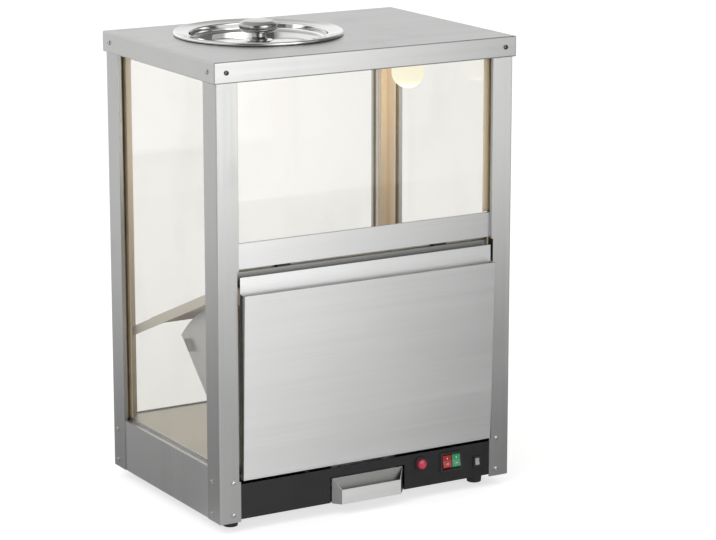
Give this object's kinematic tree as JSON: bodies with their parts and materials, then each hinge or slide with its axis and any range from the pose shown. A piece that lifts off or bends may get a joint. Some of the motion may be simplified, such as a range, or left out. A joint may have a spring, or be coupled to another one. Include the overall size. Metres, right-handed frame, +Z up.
{
  "type": "chip warmer",
  "caption": "Countertop glazed steel warmer for chips: lidded fill port on top, sloping baffle inside, tilt-out serving door, pull-out crumb tray and a warm-air unit in the base.",
  "frame": {"origin": "middle of the part's whole box, on the surface that the feet stand on", "axes": "+X to the right seen from the front, +Y to the back, +Z up; the door faces -Y"},
  "size_m": [0.461, 0.3364, 0.646],
  "materials": {
    "steel_post": "vertical brushed finish",
    "steel_panel": "brushed finish",
    "steel_cap": "brushed finish",
    "steel_polished": "polished",
    "steel_inner": "satin",
    "steel_galvanised": "galvanised, matt",
    "screw_steel": "satin",
    "glass_clear": "clear",
    "rubber_black": "matt",
    "panel_black": "satin powder coat",
    "plastic_black": "satin",
    "plastic_red": "translucent, lit",
    "plastic_green": "translucent, lit",
    "plastic_grey": "satin",
    "lens_red": "translucent, lit",
    "plastic_bush": "smooth",
    "ceramic_white": "glazed",
    "bulb_glass": "frosted, warm white",
    "bulb_cap_metal": "plated",
    "element_steel": "heat tinted",
    "magnet_block": "matt"
  },
  "bodies": {
    "cabinet": {"post_front_left": "steel_post", "post_front_right": "steel_post", "post_back_left": "steel_post", "post_back_right": "steel_post", "liner_front_left": "steel_inner", "liner_front_right": "steel_inner", "liner_back_left": "steel_inner", "liner_back_right": "steel_inner", "cap": "steel_cap", "fill_port": "steel_polished", "window_front": "glass_clear", "window_back": "glass_clear", "window_left": "glass_clear", "window_right": "glass_clear", "window_seals": "rubber_black", "top_channels": "steel_galvanised", "front_rail": "steel_panel", "sill_left": "steel_post", "sill_right": "steel_post", "back_panel": "steel_panel", "fascia": "panel_black", "base_pan": "steel_galvanised", "floor_panel": "steel_inner", "baffle": "steel_inner", "baffle_rails": "steel_inner", "hinge_pins": "screw_steel", "door_magnets": "magnet_block", "tray_guides": "steel_galvanised", "crumb_chute": "steel_galvanised", "fan_frame": "plastic_black", "fan_motor": "magnet_block", "air_duct": "steel_galvanised", "heater_element": "element_steel", "thermostat": "ceramic_white", "terminal_block": "ceramic_white", "power_inlet": "plastic_black", "lamp_holder": "ceramic_white", "lamp_bulb": "bulb_glass", "lamp_cap": "bulb_cap_metal", "lamp_conduit": "steel_inner", "pilot_lamp_body": "plastic_black", "pilot_lamp_lens": "lens_red", "twin_switch_housing": "plastic_black", "small_switch_housing": "plastic_black", "feet": "rubber_black", "foot_screws": "screw_steel", "frame_screws": "screw_steel", "cap_screws": "screw_steel"},
    "door": {"door_skin": "steel_panel", "door_pan": "steel_panel", "hinge_bushes": "plastic_bush"},
    "tray": {"crumb_tray": "steel_galvanised", "tray_pull": "steel_panel"},
    "lid": {"lid": "steel_polished", "lid_knob": "steel_polished", "lid_knob_screw": "screw_steel"},
    "fan_wheel": {"fan_wheel": "plastic_black"},
    "red_rocker": {"red_rocker": "plastic_red"},
    "green_rocker": {"green_rocker": "plastic_green"},
    "small_rocker": {"small_rocker": "plastic_grey"}
  },
  "joints": [
    {"name": "door_tilt", "type": "hinge", "parent": "cabinet", "child": "door", "pos_m": [0, -0.14925, 0.076], "axis": [1, 0, 0], "range_deg": [0, 40]},
    {"name": "tray_slide", "type": "slide", "parent": "cabinet", "child": "tray", "axis": [0, -1, 0], "range_m": [0, 0.235]},
    {"name": "lid_lift", "type": "slide", "parent": "cabinet", "child": "lid", "axis": [0, 0, 1], "range_m": [0, 0.12]},
    {"name": "fan_spin", "type": "hinge", "parent": "cabinet", "child": "fan_wheel", "pos_m": [0.13, 0.04475, 0.045], "axis": [0, 0, 1], "continuous": true},
    {"name": "red_rocker_press", "type": "hinge", "parent": "cabinet", "child": "red_rocker", "pos_m": [0.1248, -0.15055, 0.047], "axis": [1, 0, 0], "range_deg": [0, 20]},
    {"name": "green_rocker_press", "type": "hinge", "parent": "cabinet", "child": "green_rocker", "pos_m": [0.1392, -0.15055, 0.047], "axis": [1, 0, 0], "range_deg": [0, 20]},
    {"name": "small_rocker_press", "type": "hinge", "parent": "cabinet", "child": "small_rocker", "pos_m": [0.174, -0.15355, 0.04], "axis": [1, 0, 0], "range_deg": [0, 20]}
  ]
}
